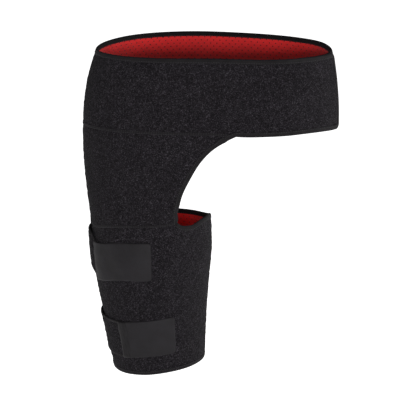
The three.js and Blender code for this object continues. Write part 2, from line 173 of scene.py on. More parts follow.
# Sections of the hip and thigh: shares of the hip's and the wrap's height, how far the section
# has turned from the waist's into the thigh's, and the thigh's girth, centre and outer swell
LEG_SECTIONS = {
    "hip": (0.0, 0.35, 0.67, 0.88, 1.0, 1.0, 1.0, 1.0, 1.0, 1.0),
    "wrap": (0.0, 0.0, 0.0, 0.0, 0.0, 0.2, 0.4, 0.6, 0.8, 1.0),
    "turned": (0.0, 0.35, 0.78, 1.0, 1.0, 1.0, 1.0, 1.0, 1.0, 1.0),
    "girth": (1.0, 1.0, 1.0, 0.998, 0.996, 1.0, 0.95, 0.883, 0.818, 0.775),
    "axis": (1.0, 1.0, 1.0, 1.004, 1.002, 0.994, 0.988, 0.961, 0.921, 0.899),
    "swell": (0.0, 0.033, 0.044, 0.03, 0.014, 0.0, 0.0, 0.0, 0.0, 0.0),
}
LEG_SECTIONS["down"] = tuple(
    hip * HIP_HEIGHT + wrap * WRAP_HEIGHT
    for hip, wrap in zip(LEG_SECTIONS["hip"], LEG_SECTIONS["wrap"])
)

# The belt's edges round the waist, as shares of its height above and below the origin
BELT_EDGES = {
    "angle": (0, 20, 45, 70, 100, 130, 155, 180, 213, 233, 250, 270, 283, 293, 315),
    "rise": (0.497, 0.52, 0.525, 0.536, 0.557, 0.554, 0.531)
    + (0.512, 0.513, 0.517, 0.5255, 0.531, 0.519, 0.506, 0.496),
    "drop": (0.49, 0.475, 0.462, 0.455, 0.45, 0.45, 0.452)
    + (0.455, 0.43, 0.416, 0.407, 0.406, 0.443, 0.452, 0.446),
}

# The hip panel's free edges, from its foot up
HIP_EDGES = {
    "up": (0.0, 0.045, 0.13, 0.25, 0.393, 0.551, 0.715, 0.87, 0.95, 1.0),
    "front": (297.2, 295.6, 289.2, 282.2, 275.4, 271.3, 270.5, 273.1, 276.6, 280.4),
    "back": (142, 139, 135, 131, 128.5, 127, 125.5, 123.5, 120.5, 115.5),
}

# The wrap's top edge along its length, as shares of the hip's height below the belt's foot
WRAP_TOP = {
    "angle": (142, 180, 205, 229, 255, 277, 290, 297.2, 301.6, 307.9, 315.2)
    + (321, 330, 337, 348, 360, 385, 405, 450, 490, 505, 527),
    "down": (1.042, 1.035, 1.017, 0.958, 0.92, 0.911, 0.902, 0.897, 0.935, 0.953, 0.96)
    + (0.95, 0.935, 0.934, 0.942, 0.97, 1.036, 1.062, 1.095, 1.1, 1.09, 0.98),
}

# The wrap's hem, as shares of the wrap's height below the hip
HEM = {
    "angle": (0, 90, 150, 205, 250, 287, 325),
    "down": (0.966, 0.985, 1.01, 1.018, 0.995, 0.97, 0.961),
}

# The two straps: where each leaves the wrap's end, where its tab is joined on, how far round
# the tab reaches, its width and its top edge as shares of the wrap's height below the hip
STRAPS = {
    "upper": {
        "leaves": 196,
        "joint": 209,
        "reach": 271,
        "width": 56,
        "angle": (167, 198, 205, 210, 242, 271),
        "down": (0.066, 0.066, 0.1, 0.105, 0.066, 0.053),
    },
    "lower": {
        "leaves": 169,
        "joint": 233,
        "reach": 293,
        "width": 57,
        "angle": (185, 208, 233, 262, 293),
        "down": (0.633, 0.632, 0.62, 0.596, 0.571),
    },
}

# The folded tape's section: distance off the wall's edge and height above the body side
TAPE_SECTION = {
    "off": (-6, -5.6, -3, -1, 0, 0.6, 0.8, 0.8, 0.6, 0, -1, -3, -5.6, -6),
    "rise": (3.55, 3.75, 3.8, 3.75, 3.4, 2.7, 2.1, 1.3, 0.6, -0.1, -0.55, -0.7, -0.75, -0.4),
}


def smooth(table, by, column, at):
    """A smooth curve through one column of a table, by another."""
    x = np.array(table[by], float)
    y = np.array(table[column], float)
    at = np.asarray(at, float)
    slope = np.diff(y) / np.diff(x)
    bend = np.concatenate([slope[:1], (slope[1:] + slope[:-1]) / 2, slope[-1:]])
    row = np.clip(np.searchsorted(x, at, side="right") - 1, 0, len(x) - 2)
    span = x[row + 1] - x[row]
    t = (at - x[row]) / span
    start = (1 + 2 * t) * y[row] + t * span * bend[row]
    end = (3 - 2 * t) * y[row + 1] + (t - 1) * span * bend[row + 1]
    inside = (1 - t) ** 2 * start + t**2 * end
    before = y[0] + (at - x[0]) * slope[0]
    after = y[-1] + (at - x[-1]) * slope[-1]
    return np.where(at <= x[0], before, np.where(at >= x[-1], after, inside))


def smooth_round(table, column, angle):
    """The same for a table that runs once round."""
    turned = {
        "angle": tuple(a + turn for turn in (-TURN, 0, TURN) for a in table["angle"]),
        column: table[column] * 3,
    }
    return smooth(turned, "angle", column, np.asarray(angle, float) % TURN)


def smooth_step(at, start, end):
    t = np.clip((np.asarray(at, float) - start) / (end - start), 0, 1)
    return t * t * (3 - 2 * t)


def waist_point(angle, height):
    """A point of the body side of the waist's form."""
    turn = np.radians(angle)
    down = (BELT_HEIGHT / 2 - height) / BELT_HEIGHT
    right = smooth(WAIST_SECTIONS, "down", "right", down)
    left = smooth(WAIST_SECTIONS, "down", "left", down)
    back = smooth(WAIST_SECTIONS, "down", "back", down)
    front = smooth(WAIST_SECTIONS, "down", "front", down)
    square = 1 + SQUARENESS * np.sin(2 * turn) ** 2
    x = WAIST_WIDTH * np.where(np.cos(turn) > 0, right, left) * np.cos(turn) * square
    y = WAIST_DEPTH * np.where(np.sin(turn) > 0, back, front) * np.sin(turn) * square
    return np.stack([x, y, height], axis=-1)


def leg_point(angle, height):
    """A point of the body side of the hip's and thigh's form."""
    turn = np.radians(angle)
    down = BELT_FOOT - height
    turned = smooth(LEG_SECTIONS, "down", "turned", down)
    radius = THIGH_RADIUS * smooth(LEG_SECTIONS, "down", "girth", down)
    centre = -THIGH_OFFSET * smooth(LEG_SECTIONS, "down", "axis", down) * turned
    swell = THIGH_RADIUS * smooth(LEG_SECTIONS, "down", "swell", down)
    swell = np.where(np.cos(turn) < 0, swell, 0)
    foot = {side: WAIST_SECTIONS[side][-1] for side in ("left", "right", "front", "back")}
    waist_x = WAIST_WIDTH * np.where(np.cos(turn) > 0, foot["right"], foot["left"])
    waist_y = WAIST_DEPTH * np.where(np.sin(turn) > 0, foot["back"], foot["front"])
    square = 1 + SQUARENESS * np.sin(2 * turn) ** 2 * (1 - turned)
    x = centre + (waist_x + (radius - waist_x) * turned + swell) * np.cos(turn) * square
    y = (waist_y + (radius - waist_y) * turned) * np.sin(turn) * square
    return np.stack([x, y, height], axis=-1)


def form_point(angle, height):
    angle, height = np.broadcast_arrays(np.asarray(angle, float), np.asarray(height, float))
    above = (height > BELT_FOOT)[..., None]
    return np.where(above, waist_point(angle, height), leg_point(angle, height))


def unit(vectors):
    return vectors / np.linalg.norm(vectors, axis=-1, keepdims=True)


def form_at(angle, height):
    """The form's directions per degree and per millimetre at a place, and its normal."""
    across = form_point(angle + 0.5, height) - form_point(angle - 0.5, height)
    upward = form_point(angle, height + 0.5) - form_point(angle, height - 0.5)
    return across, upward, unit(np.cross(across, upward))


def raised(angle, height, off):
    """A point that stands off the form."""
    normal = form_at(angle, height)[2]
    return form_point(angle, height) + normal * np.asarray(off, float)[..., None]


def degrees(length, angle, height):
    """Degrees of the form that a length along it takes."""
    return length / np.linalg.norm(form_at(angle, height)[0], axis=-1)


def slid(angle, height, direction, distance):
    """The place that lies a distance away over the form, in the direction of a vector."""
    across, upward, _ = form_at(angle, height)
    aa = (across * across).sum(-1)
    au = (across * upward).sum(-1)
    uu = (upward * upward).sum(-1)
    a = (direction * across).sum(-1)
    u = (direction * upward).sum(-1)
    area = aa * uu - au * au
    angle_step = (a * uu - u * au) / area
    height_step = (u * aa - a * au) / area
    return angle + angle_step * distance, height + height_step * distance


def belt_lift(angle):
    foot = BELT_START + TURN - LAP_LEAD
    return LAP * smooth_step(angle, foot - BELT_LAP_RISE, foot)


def wrap_lift(angle):
    foot = WRAP_START + TURN - LAP_LEAD
    return LAP * smooth_step(angle, foot - WRAP_LAP_RISE, foot)


def no_lift(angle):
    return np.zeros_like(np.asarray(angle, float))


def belt_top(angle):
    return BELT_HEIGHT * smooth_round(BELT_EDGES, "rise", angle)


def belt_foot(angle):
    return -BELT_HEIGHT * smooth_round(BELT_EDGES, "drop", angle)


def wrap_top(angle):
    return BELT_FOOT - HIP_HEIGHT * smooth(WRAP_TOP, "angle", "down", angle)


def hem(angle):
    return BELT_FOOT - HIP_HEIGHT - WRAP_HEIGHT * smooth_round(HEM, "down", angle)


def corner_inset(distance, radius):
    """How far a rounded corner's edge stands in, at a distance from the edge across it."""
    share = np.clip(1 - distance / radius, 0, 1)
    return radius * (1 - np.sqrt(1 - share**2))


def round_corners(angle, height, low, high, start, end, radius, ends):
    """Moves the places near the chosen ends of a strip so that its corners are round."""
    inset = corner_inset(np.minimum(high - height, height - low), radius)
    inset = degrees(inset, angle, height)
    fade = degrees(8 * radius, angle, height)
    if "start" in ends:
        angle = angle + inset * (1 - smooth_step(angle, start, start + fade))
    if "end" in ends:
        angle = angle - inset * smooth_step(angle, end - fade, end)
    return angle


def belt_place(angle, up):
    """The belt's place at an angle and a share of the way up, its ends' corners rounded."""
    low, high = belt_foot(angle), belt_top(angle)
    height = low + (high - low) * up
    ends = ("start", "end")
    angle = round_corners(
        angle, height, low, high, BELT_START, BELT_END, CORNER_RADIUS, ends
    )
    return angle, height


def hip_place(share, up):
    """The hip panel's place at a share of the way from back to front and of the way up."""
    back = smooth(HIP_EDGES, "up", "back", up)
    front = smooth(HIP_EDGES, "up", "front", up)
    angle = back + share * (front - back)
    low, high = wrap_top(angle), belt_foot(angle)
    return angle, low + (high - low) * up


def wrap_place(angle, up):
    """The wrap's place at an angle and a share of the way up, its end's corners rounded."""
    low, high = hem(angle), wrap_top(angle)
    height = low + (high - low) * up
    angle = round_corners(
        angle, height, low, high, WRAP_START, WRAP_END, CORNER_RADIUS, ("end",)
    )
    return angle, height


# Meshes


def make_piece(name, points, faces, flat, material, replaces=(), slot=None):
    """A smooth mesh that rides on the part's one body; flat is each point's place on the cloth."""
    mesh = bpy.data.meshes.new(name)
    mesh.from_pydata((points * MM).tolist(), [], faces)
    mesh.polygons.foreach_set("use_smooth", [True] * len(faces))
    corners = np.concatenate([np.asarray(face) for face in faces])
    cloth = mesh.uv_layers.new(name="cloth")
    cloth.data.foreach_set("uv", (flat[corners] * MM).ravel())
    mesh.materials.append(material)
    piece = bpy.data.objects.new(name, mesh)
    bpy.context.scene.collection.objects.link(piece)
    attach(piece, "root")
    if replaces:
        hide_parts(*replaces)
    return piece


def grid_faces(columns, rows):
    i, j = np.meshgrid(np.arange(columns - 1), np.arange(rows - 1), indexing="ij")
    a = (i * rows + j).ravel()
    return np.stack([a, a + rows, a + rows + 1, a + 1], axis=1)


def closed_faces(columns, rows):
    """The faces of a wall with two grids, the outer one first, joined all round."""
    outer = grid_faces(columns, rows)
    inner = outer[:, ::-1] + columns * rows
    index = np.arange(columns * rows).reshape(columns, rows)
    rim = np.concatenate([index[:, 0], index[-1, 1:], index[-2::-1, -1], index[0, -2:0:-1]])
    after = np.roll(rim, -1)
    border = np.stack([after, rim, rim + columns * rows, after + columns * rows], axis=1)
    return np.concatenate([outer, inner, border])


def cloth_flat(points):
    """Each grid point's distance along and up the cloth, in millimetres."""
    middle = points[:, points.shape[1] // 2]
    steps = np.linalg.norm(np.diff(middle, axis=0), axis=1)
    along = np.concatenate([[0], np.cumsum(steps)])
    columns = points.shape[0] // 2
    rises = np.linalg.norm(np.diff(points[columns], axis=0), axis=1)
    up = np.concatenate([[0], np.cumsum(rises)])
    return np.stack(np.meshgrid(along, up, indexing="ij"), axis=-1)


def make_wall(name, places, inner, outer, material, **words):
    """A closed wall over a grid of places, between two heights above the form."""
    angle, height = places
    shape = angle.shape
    outer_points = raised(angle, height, np.broadcast_to(outer, shape))
    inner_points = raised(angle, height, np.broadcast_to(inner, shape))
    flat = cloth_flat(outer_points).reshape(-1, 2)
    points = np.concatenate([outer_points.reshape(-1, 3), inner_points.reshape(-1, 3)])
    faces = closed_faces(*shape)
    return make_piece(name, points, faces, np.concatenate([flat, flat]), material, **words)


def lumps(shape, seed):
    """Small random heights, evened out a little between neighbours."""
    rough = np.random.default_rng(seed).normal(size=shape)
    for axis in (0, 1):
        rough = rough + 0.5 * (np.roll(rough, 1, axis) + np.roll(rough, -1, axis))
    return rough / rough.std()


def pinched(distance):
    """How far the cloth is pulled down at a distance from a sewn edge."""
    return PINCH * (1 - smooth_step(distance, 0.4 * BINDING_WIDTH, BINDING_WIDTH + PINCH_REACH))


def spaced(start, end, step):
    return np.linspace(start, end, max(2, round(abs(end - start) / step) + 1))


def strip_places(place, start, end, length, height, step):
    """A grid of places over a strip, about one step apart, just inside the strip's edges."""
    columns = spaced(start, end, step * (end - start) / length)
    margin = FOAM_MARGIN / height
    rows = spaced(margin, 1 - margin, step / height)
    return place(*np.meshgrid(columns, rows, indexing="ij"))


def sewn_distance(points, edges):
    """How far each grid point lies from the strip's sewn edges, named by their side."""
    flat = cloth_flat(points)
    along, up = flat[..., 0], flat[..., 1]
    distances = {
        "start": along,
        "end": along.max() - along,
        "foot": up,
        "top": up.max() - up,
    }
    return np.minimum.reduce([distances[edge] for edge in edges]) + FOAM_MARGIN


def make_cloth(names, place, span, length, height, lift, materials, seed):
    """A shell of pile with its lining, over the strip that a place function describes."""
    shell, lining = names
    pile, knit = materials
    start, end = span
    places = strip_places(place, start, end, length, height, PILE_STEP)
    distance = sewn_distance(form_point(*places), ("start", "end", "foot", "top"))
    rise = lift(places[0])
    bumps = PILE_LUMPS * lumps(places[0].shape, seed)
    outer = WALL + rise - pinched(distance) + bumps
    inner = LINING_WALL + CLEARANCE / 2 + rise
    outside = make_wall(shell, places, inner, outer, pile, replaces=[shell], slot="loop_pile")
    places = strip_places(place, start, end, length, height, KNIT_STEP)
    distance = sewn_distance(form_point(*places), ("start", "end", "foot", "top"))
    rise = lift(places[0])
    inner = rise + 0.4 * pinched(distance)
    outer = LINING_WALL - CLEARANCE / 2 + rise + 0.4 * pinched(distance)
    inside = make_wall(lining, places, inner, outer, knit, replaces=[lining], slot="red_knit")
    return outside, inside


# Tapes and stitches


def path_of(parts):
    """One line of places from several, each with the heights that its ply is lifted by."""
    angle = np.concatenate([np.broadcast_to(a, np.shape(h)) for (a, h), _ in parts])
    height = np.concatenate([h for (_, h), _ in parts])
    rise = np.concatenate([lift(np.broadcast_to(a, np.shape(h))) for (a, h), lift in parts])
    return evened(angle, height, rise, TAPE_STEP)


def evened(angle, height, rise, step):
    """The same line with its points a step apart."""
    points = raised(angle, height, rise)
    gaps = np.linalg.norm(np.diff(points, axis=0), axis=1)
    kept = np.concatenate([[True], gaps > 1e-3])
    far = np.concatenate([[0], np.cumsum(gaps)])[kept]
    at = spaced(0, far[-1], step)
    return tuple(np.interp(at, far, values[kept]) for values in (angle, height, rise))


def softened(values, times):
    for _ in range(times):
        values[1:-1] = (values[:-2] + 2 * values[1:-1] + values[2:]) / 4
    return values


def beside(path, off):
    """The places that lie off a path on its left side, over the form."""
    angle, height, rise = path
    points = raised(angle, height, rise)
    along = unit(softened(np.gradient(points, axis=0), 3))
    normal = form_at(angle, height)[2]
    away = unit(np.cross(normal, along))
    return slid(angle, height, away, off)


def make_tape(name, path, section, material, **words):
    """A tape of one section swept along a path over the form, closed at both ends."""
    rise = path[2]
    rings = []
    for off, up in zip(section["off"], section["rise"]):
        rings.append(raised(*beside(path, off), rise + up))
    points = np.stack(rings, axis=1)
    count, sides = points.shape[:2]
    far = np.arange(count) * TAPE_STEP
    girth = np.arange(sides) * 1.0
    flat = np.stack(np.meshgrid(far, girth, indexing="ij"), axis=-1).reshape(-1, 2)
    faces = []
    for j in range(sides):
        after = (j + 1) % sides
        i = np.arange(count - 1)
        quad = [i * sides + j, i * sides + after, (i + 1) * sides + after, (i + 1) * sides + j]
        faces.append(np.stack(quad, axis=1))
    faces = np.concatenate(faces)
    half = sides // 2
    caps = []
    for j in range(half - 1):
        cap = [j, sides - 1 - j, sides - 2 - j, j + 1]
        caps.append(cap)
        caps.append([(count - 1) * sides + k for k in reversed(cap)])
    faces = np.concatenate([faces, np.array(caps)])
    return make_piece(name, points.reshape(-1, 3), faces, flat, material, **words)


def stitch_shape():
    """One stitch lying along X with its crown towards +Z: its points and its faces."""
    rings, sides = 5, 5
    points, faces = [], []
    for ring in range(rings):
        t = -1 + 2 * ring / (rings - 1)
        width = STITCH_RADIUS * max(0.3, math.sqrt(1 - 0.8 * t * t))
        crown = STITCH_RADIUS * (0.7 - 1.0 * t * t)
        for side in range(sides):
            turn = 2 * math.pi * side / sides
            points.append(
                (t * STITCH_LENGTH / 2, width * math.cos(turn), crown + width * math.sin(turn))
            )
    for ring in range(rings - 1):
        for side in range(sides):
            a, b = ring * sides + side, ring * sides + (side + 1) % sides
            faces.append((a, b, b + sides, a + sides))
    last = (rings - 1) * sides
    ends = [(4, 3, 2, 1, 0), tuple(last + side for side in range(sides))]
    return np.array(points), faces + ends


def make_stitches(name, lines, material, slot="tape"):
    """Rows of stitches; each line has its places, the height it lies at and the side it is on."""
    shape, outline = stitch_shape()
    all_points, all_faces = [], []
    count = 0
    for angle, height, rise, side in lines:
        angle, height, rise = evened(angle, height, rise, STITCH_STEP)
        centre = raised(angle, height, rise)
        along = unit(np.gradient(centre, axis=0))
        normal = form_at(angle, height)[2] * side
        across = np.cross(normal, along)
        placed = (
            centre[:, None]
            + shape[None, :, 0:1] * along[:, None]
            + shape[None, :, 1:2] * across[:, None]
            + shape[None, :, 2:3] * normal[:, None]
        )
        all_points.append(placed.reshape(-1, 3))
        for first in range(count, count + len(centre) * len(shape), len(shape)):
            all_faces += [[first + k for k in face] for face in outline]
        count += len(centre) * len(shape)
    points = np.concatenate(all_points)
    return make_piece(name, points, all_faces, points[:, :2], material, slot=slot)


# Materials


def new_material(name, roughness, sheen=0.0, specular=0.3):
    """A material and its shader; what is the same all over is set on the shader itself."""
    material = bpy.data.materials.new(name)
    material.use_nodes = True
    shader = material.node_tree.nodes["Principled BSDF"]
    shader.inputs["Roughness"].default_value = roughness
    shader.inputs["Sheen Weight"].default_value = sheen
    shader.inputs["Sheen Roughness"].default_value = 0.45
    shader.inputs["Specular IOR Level"].default_value = specular
    return material, shader


def add_node(material, kind, inputs, **settings):
    """A node with its settings, its values and its links from other nodes' sockets."""
    tree = material.node_tree
    node = tree.nodes.new(kind)
    for key, value in settings.items():
        setattr(node, key, value)
    for key, value in inputs.items():
        if isinstance(value, bpy.types.NodeSocket):
            tree.links.new(value, node.inputs[key])
        else:
            node.inputs[key].default_value = value
    return node


def noise(material, place, scale, detail=2.0, distortion=0.0):
    inputs = {"Vector": place, "Scale": scale, "Detail": detail, "Distortion": distortion}
    return add_node(material, "ShaderNodeTexNoise", inputs).outputs["Fac"]


def ranged(material, value, low, high, to_low=0.0, to_high=1.0):
    inputs = {"Value": value, "From Min": low, "From Max": high}
    inputs |= {"To Min": to_low, "To Max": to_high}
    return add_node(material, "ShaderNodeMapRange", inputs).outputs["Result"]


def calculated(material, operation, first, second):
    inputs = {0: first, 1: second}
    return add_node(material, "ShaderNodeMath", inputs, operation=operation).outputs[0]


def mixed(material, share, first, second):
    node = add_node(material, "ShaderNodeMix", {}, data_type="RGBA")
    colours = [socket for socket in node.inputs if socket.type == "RGBA"]
    tree = material.node_tree
    tree.links.new(share, node.inputs["Factor"])
    for socket, value in zip(colours, (first, second)):
        if isinstance(value, bpy.types.NodeSocket):
            tree.links.new(value, socket)
        else:
            socket.default_value = value
    return [socket for socket in node.outputs if socket.type == "RGBA"][0]


def bumped(material, height, depth, strength=1.0, normal=None):
    inputs = {"Height": height, "Distance": depth, "Strength": strength}
    if normal:
        inputs["Normal"] = normal
    return add_node(material, "ShaderNodeBump", inputs).outputs["Normal"]


def finish_with(material, shader, colour, normal):
    material.node_tree.links.new(colour, shader.inputs["Base Color"])
    material.node_tree.links.new(normal, shader.inputs["Normal"])
    return material


def linear(*screen):
    """A colour from its screen values of 0 to 255."""
    shares = [value / 255 for value in screen]
    return (*(s / 12.92 if s <= 0.04045 else ((s + 0.055) / 1.055) ** 2.4 for s in shares), 1.0)


def object_place(material):
    return add_node(material, "ShaderNodeTexCoord", {}).outputs["Object"]


def cloth_place(material):
    return add_node(material, "ShaderNodeUVMap", {}, uv_map="cloth").outputs["UV"]


def pile_material():
    """Loop pile: near-black loops, with painted highlights: the glints on its curls and tips are
    painted into the colour.
    """
    material, shader = new_material("loop_pile", roughness=0.95, sheen=0.02, specular=0.1)
    place = object_place(material)
    waves = noise(material, place, 300, detail=1, distortion=1.2)
    fuzz = noise(material, place, 900, detail=2)
    patches = noise(material, place, 45, detail=2)
    off = calculated(material, "ABSOLUTE", calculated(material, "SUBTRACT", waves, 0.5), 0)
    curls = ranged(material, off, 0.02, 0.1, 1.0, 0.0)
    # The curls' lighter colour is a painted highlight: glints where the curl lines meet the high
    # fuzz.
    curl_glint_mask = ranged(material, fuzz, 0.42, 0.66)
    strength = ranged(material, patches, 0.3, 0.7, 0.6, 1.0)
    painted_curl_glints = calculated(material, "MULTIPLY", curls, curl_glint_mask)
    share = calculated(material, "MULTIPLY", painted_curl_glints, strength)
    # The base is darker where the fuzz bump is low: painted shade in the pile's hollows.
    depth = ranged(material, fuzz, 0.3, 0.7)
    base = mixed(material, depth, linear(10, 8, 11), linear(25, 22, 26))
    pile_with_painted_glints = mixed(material, share, base, linear(78, 73, 80))
    # Bright specks are painted glints on the loop tips.
    painted_tip_glints = ranged(material, noise(material, place, 720, detail=0), 0.66, 0.74, 0.0, 0.4)
    colour = mixed(material, painted_tip_glints, pile_with_painted_glints, linear(104, 99, 106))
    normal = bumped(material, curls, 0.0006)
    normal = bumped(material, fuzz, 0.0006, normal=normal)
    return finish_with(material, shader, colour, normal)


def knit_material():
    """Red knit on foam, with small breathing holes in staggered rows."""
    material, shader = new_material("red_knit", roughness=0.8, sheen=0.1, specular=0.25)
    cloth = cloth_place(material)
    per_metre = 1 / (HOLE_STEP * MM)
    slant = (0, 0, math.radians(45))
    inputs = {"Vector": cloth, "Rotation": slant, "Scale": (per_metre,) * 3}
    turned = add_node(material, "ShaderNodeMapping", inputs).outputs["Vector"]
    cells = add_node(
        material,
        "ShaderNodeTexVoronoi",
        {"Vector": turned, "Scale": 1.0, "Randomness": 0.0},
        voronoi_dimensions="2D",
        feature="F1",
    ).outputs["Distance"]
    solid = ranged(material, cells, 0.09, 0.16)
    place = object_place(material)
    grain = noise(material, place, 1400, detail=2)
    patches = noise(material, place, 40, detail=2)
    cloud = ranged(material, patches, 0.3, 0.7)
    red = mixed(material, cloud, linear(203, 24, 28), linear(222, 31, 34))
    red = mixed(material, ranged(material, grain, 0.3, 0.75), red, linear(226, 46, 46))
    colour = mixed(material, solid, linear(70, 8, 10), red)
    normal = bumped(material, grain, 0.0003)
    normal = bumped(material, solid, 0.0006, normal=normal)
    return finish_with(material, shader, colour, normal)


def tape_material(name, low, high):
    """Elastic tape with fine ribs across it, between two greys, with painted shade: near black on
    its body side, where it is turned in.
    """
    material, shader = new_material(name, roughness=0.75, sheen=0.01, specular=0.12)
    cloth = cloth_place(material)
    ribs = add_node(
        material,
        "ShaderNodeTexWave",
        {"Vector": cloth, "Scale": 260, "Distortion": 0.6, "Detail": 1.0},
        wave_type="BANDS",
        bands_direction="X",
    ).outputs["Fac"]
    place = object_place(material)
    grain = noise(material, place, 1300, detail=2)
    patches = noise(material, place, 120, detail=1)
    base = mixed(material, ranged(material, patches, 0.3, 0.7), low, high)
    outside = mixed(material, ranged(material, grain, 0.55, 0.8), base, linear(40, 37, 40))
    # Painted shade: the tape's body side, turned in towards the wearer, is near black.
    inside = mixed(material, grain, linear(5, 4, 5), linear(14, 12, 14))
    round_tape = add_node(material, "ShaderNodeSeparateXYZ", {"Vector": cloth}).outputs["Y"]
    inner_shade_share = ranged(material, round_tape, 0.0065, 0.0085)
    colour = mixed(material, inner_shade_share, outside, inside)
    normal = bumped(material, ribs, 0.0003)
    normal = bumped(material, grain, 0.0003, normal=normal)
    return finish_with(material, shader, colour, normal)


def thread_material():
    material, shader = new_material("thread", roughness=0.6, specular=0.35)
    place = object_place(material)
    twist = noise(material, place, 2400, detail=1)
    colour = mixed(material, twist, linear(34, 31, 34), linear(62, 59, 62))
    return finish_with(material, shader, colour, bumped(material, twist, 0.0002))


def tab_material(name, creased):
    """The grey back of a moulded hook strip, with painted shade in dark upright crease streaks near
    its start.
    """
    material, shader = new_material(name, roughness=0.62, specular=0.14)
    place = object_place(material)
    clouds = noise(material, place, 55, detail=3)
    grain = noise(material, place, 2200, detail=2)
    cloud = ranged(material, clouds, 0.3, 0.7)
    base = mixed(material, cloud, linear(25, 23, 25), linear(33, 31, 34))
    smooth_part = mixed(material, ranged(material, grain, 0.45, 0.85), base, linear(38, 36, 39))
    cloth = cloth_place(material)
    drawn = add_node(material, "ShaderNodeMapping", {"Vector": cloth, "Scale": (1, 0.12, 1)})
    # Painted shade: dark upright streaks stand for the shade in the creases.
    crease_shade_mask = ranged(material, noise(material, drawn.outputs["Vector"], 520), 0.35, 0.65)
    painted_crease_shade = mixed(material, crease_shade_mask, linear(13, 11, 13), linear(33, 31, 33))
    along = add_node(material, "ShaderNodeSeparateXYZ", {"Vector": cloth}).outputs["X"]
    near = ranged(material, along, creased - 0.002, creased + 0.003, 1.0, 0.0)
    colour = mixed(material, near, smooth_part, painted_crease_shade)
    normal = bumped(material, clouds, 0.0012)
    normal = bumped(material, grain, 0.00012, normal=normal)
    return finish_with(material, shader, colour, normal)


def floor_material():
    material, shader = new_material("floor", roughness=0.9, specular=0.1)
    place = object_place(material)
    clouds = noise(material, place, 3, detail=2)
    colour = mixed(material, clouds, linear(246, 246, 246), linear(252, 252, 252))
    shader.inputs["Emission Color"].default_value = (1, 1, 1, 1)
    shader.inputs["Emission Strength"].default_value = FLOOR_GLOW
    return finish_with(material, shader, colour, bumped(material, clouds, 0.001))


# The brace


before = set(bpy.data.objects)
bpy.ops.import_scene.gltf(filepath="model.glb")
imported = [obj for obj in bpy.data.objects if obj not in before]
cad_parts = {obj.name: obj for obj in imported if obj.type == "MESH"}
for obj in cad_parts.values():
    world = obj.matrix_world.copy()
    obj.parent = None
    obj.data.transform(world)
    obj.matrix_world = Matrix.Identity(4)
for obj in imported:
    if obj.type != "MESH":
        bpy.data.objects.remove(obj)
cad_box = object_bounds()

pile = pile_material()
knit = knit_material()
tape = tape_material("tape", linear(22, 20, 22), linear(30, 28, 30))
seam_and_hem_shade_tape = tape_material("seam_tape", linear(20, 18, 21), linear(28, 26, 29))
thread = thread_material()
hook_tab = tab_material("hook_tab", 0)
creased_tab = tab_material("creased_hook_tab", CREASED_LENGTH * MM)

belt, belt_lining = make_cloth(
    ("waist_belt", "waist_lining"),
    belt_place,
    (BELT_START, BELT_END),
    BELT_LENGTH,
    BELT_HEIGHT,
    belt_lift,
    (pile, knit),
    seed=1,
)
hip, hip_lining = make_cloth(
    ("hip_panel", "hip_lining"),
    hip_place,
    (0, 1),
    HIP_LENGTH,
    HIP_HEIGHT,
    no_lift,
    (pile, knit),
    seed=2,
)
wrap, wrap_lining = make_cloth(
    ("thigh_wrap", "thigh_lining"),
    wrap_place,
    (WRAP_START, WRAP_END),
    WRAP_LENGTH,
    WRAP_HEIGHT,
    wrap_lift,
    (pile, knit),
    seed=3,
)

# The lines that the bindings follow, with the cloth on their right
up = np.linspace(0, 1, END_POINTS)
down = up[::-1]
hip_head = HIP_EDGES["front"][-1], HIP_EDGES["back"][-1]
hip_foot = HIP_EDGES["front"][0]
waist_turn = np.linspace(BELT_START, BELT_END, WAIST_POINTS)
front_turn = np.linspace(BELT_END, hip_head[0], FREE_FOOT_POINTS)
back_turn = np.linspace(hip_head[1], BELT_START, FREE_FOOT_POINTS)
notch_turn = np.linspace(hip_foot, WRAP_END, NOTCH_POINTS)
hem_turn = np.linspace(WRAP_END, WRAP_START, HEM_POINTS)
EDGES = {
    "waist_top_binding": [
        (belt_place(BELT_START + 0 * up, up), belt_lift),
        (belt_place(waist_turn, 1), belt_lift),
        (belt_place(BELT_END + 0 * down, down), belt_lift),
    ],
    "front_edge_binding": [
        (belt_place(front_turn, 0), belt_lift),
        (hip_place(1, down), no_lift),
    ],
    "thigh_top_binding": [
        (wrap_place(notch_turn, 1), wrap_lift),
        (wrap_place(WRAP_END + 0 * down, down), wrap_lift),
    ],
    "hem_binding": [(wrap_place(hem_turn, 0), wrap_lift)],
    "back_edge_binding": [
        (wrap_place(WRAP_START + 0 * up, up), wrap_lift),
        (hip_place(0, up), no_lift),
        (belt_place(back_turn, 0), belt_lift),
    ],
}
OUTER_STITCH = WALL + COVER - PINCH + STITCH_LIFT
INNER_STITCH = -COVER + 0.05
for name, parts in EDGES.items():
    path = path_of(parts)
    # The hem binding takes the darker seam tape: painted shade on the lowest edge, the same tape as
    # the other bindings.
    material = seam_and_hem_shade_tape if name == "hem_binding" else tape
    make_tape(name, path, TAPE_SECTION, material, replaces=[name], slot="tape")
    row = beside(path, STITCH_INSET - BINDING_WIDTH)
    lines = [(*row, path[2] + OUTER_STITCH, 1), (*row, path[2] + INNER_STITCH, -1)]
    make_stitches(name.replace("binding", "stitches"), lines, thread)

